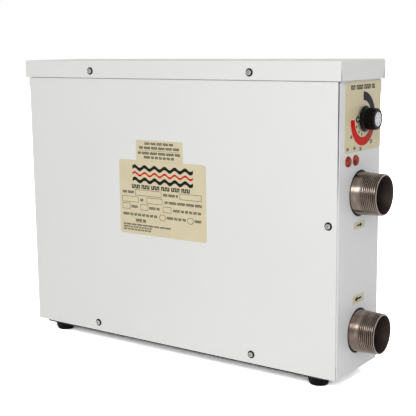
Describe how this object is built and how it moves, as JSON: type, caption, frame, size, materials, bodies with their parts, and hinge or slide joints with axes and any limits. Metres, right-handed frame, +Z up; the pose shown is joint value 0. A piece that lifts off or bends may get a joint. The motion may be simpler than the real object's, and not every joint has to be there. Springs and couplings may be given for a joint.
{
  "type": "electric pool heater",
  "caption": "Slim free-standing flow-through electric water heater in a white sheet-steel case, with threaded pipe ends, a thermostat knob and two lamps on one end.",
  "frame": {"origin": "on the floor, under the middle of the whole object's box", "axes": "+X towards the end with the pipes and the knob, -Y towards the front with the rating plate, +Z up"},
  "size_m": [0.518, 0.1096, 0.3645],
  "materials": {
    "white_enamel": "semi-gloss powder coat",
    "end_enamel": "semi-gloss powder coat",
    "dark_paint": "satin paint",
    "nickel_screws": "nickel plated",
    "black_rubber": "moulded",
    "cream_plate": "printed overlay",
    "cream_label": "printed label",
    "knob_black": "moulded, glossy",
    "knob_silver": "spun foil",
    "zinc_steel": "zinc plated",
    "copper": "drawn copper",
    "lamp_red": "clear red-orange lens",
    "black_plastic": "moulded nylon",
    "stainless": "bead-dull stainless",
    "element_sheath": "nickel alloy sheath",
    "brass": "machined",
    "white_ceramic": "glazed",
    "orange_plastic": "moulded",
    "red_plastic": "moulded",
    "brown_wire": "wire insulation",
    "blue_wire": "wire insulation"
  },
  "bodies": {
    "casing": {"base_tray": "dark_paint", "end_panel": "end_enamel", "jacket": "white_enamel", "lid": "white_enamel", "lid_screws": "nickel_screws", "jacket_screws": "nickel_screws", "rubber_feet": "black_rubber", "foot_screws": "nickel_screws", "foot_nuts": "nickel_screws", "dial_plate": "cream_plate", "rating_plate": "cream_plate", "data_plate": "cream_plate", "port_labels": "cream_label", "thermostat_body": "zinc_steel", "thermostat_screws": "nickel_screws", "thermostat_bulb": "copper", "lamp_lenses": "lamp_red", "lamp_bodies": "black_plastic", "lamp_clips": "nickel_screws", "pipe_seals": "black_rubber", "inlet_nipple": "stainless", "outlet_nipple": "stainless", "lower_barrel": "stainless", "upper_barrel": "stainless", "crossover_pipe": "stainless", "lower_element": "element_sheath", "upper_element": "element_sheath", "element_flanges": "brass", "flange_gaskets": "black_rubber", "flange_bolts": "zinc_steel", "flange_nuts": "zinc_steel", "terminal_insulators": "white_ceramic", "sensor_pockets": "stainless", "support_frames": "zinc_steel", "barrel_rings": "black_rubber", "frame_screws": "nickel_screws", "equipment_shelf": "zinc_steel", "din_rail": "zinc_steel", "terminal_block": "white_ceramic", "terminal_screws": "zinc_steel", "contactor_base": "black_plastic", "limit_bracket": "zinc_steel", "limit_body": "white_ceramic", "limit_bulb": "copper", "flow_switch": "black_plastic", "earth_stud": "brass", "gland_body": "black_plastic", "gland_nut": "black_plastic", "gland_locknut": "black_plastic", "gland_seal": "black_rubber", "power_wires": "brown_wire", "control_wires": "blue_wire"},
    "temperature_knob": {"temperature_knob": "knob_black", "knob_cap": "knob_silver", "knob_grub_screw": "nickel_screws", "thermostat_shaft": "nickel_screws"},
    "reset_button": {"reset_button": "red_plastic"},
    "contactor_carrier": {"contactor_carrier": "orange_plastic"},
    "flow_paddle": {"flow_paddle": "orange_plastic"}
  },
  "joints": [
    {"name": "temperature_turn", "type": "hinge", "parent": "casing", "child": "temperature_knob", "pos_m": [0.2294, 0.0053, 0.3003], "axis": [1, 0, 0], "range_deg": [-180, 90]},
    {"name": "reset_press", "type": "slide", "parent": "casing", "child": "reset_button", "axis": [0, 0, -1], "range_m": [0, 0.0025], "stiffness_N_per_m": 400, "springref_m": -0.004},
    {"name": "contactor_pull_in", "type": "slide", "parent": "casing", "child": "contactor_carrier", "axis": [0, 0, -1], "range_m": [0, 0.004], "stiffness_N_per_m": 500, "springref_m": -0.004},
    {"name": "flow_paddle_swing", "type": "hinge", "parent": "casing", "child": "flow_paddle", "pos_m": [0.172, 0.0015, 0.103], "axis": [0, 1, 0], "range_deg": [0, 20]}
  ]
}
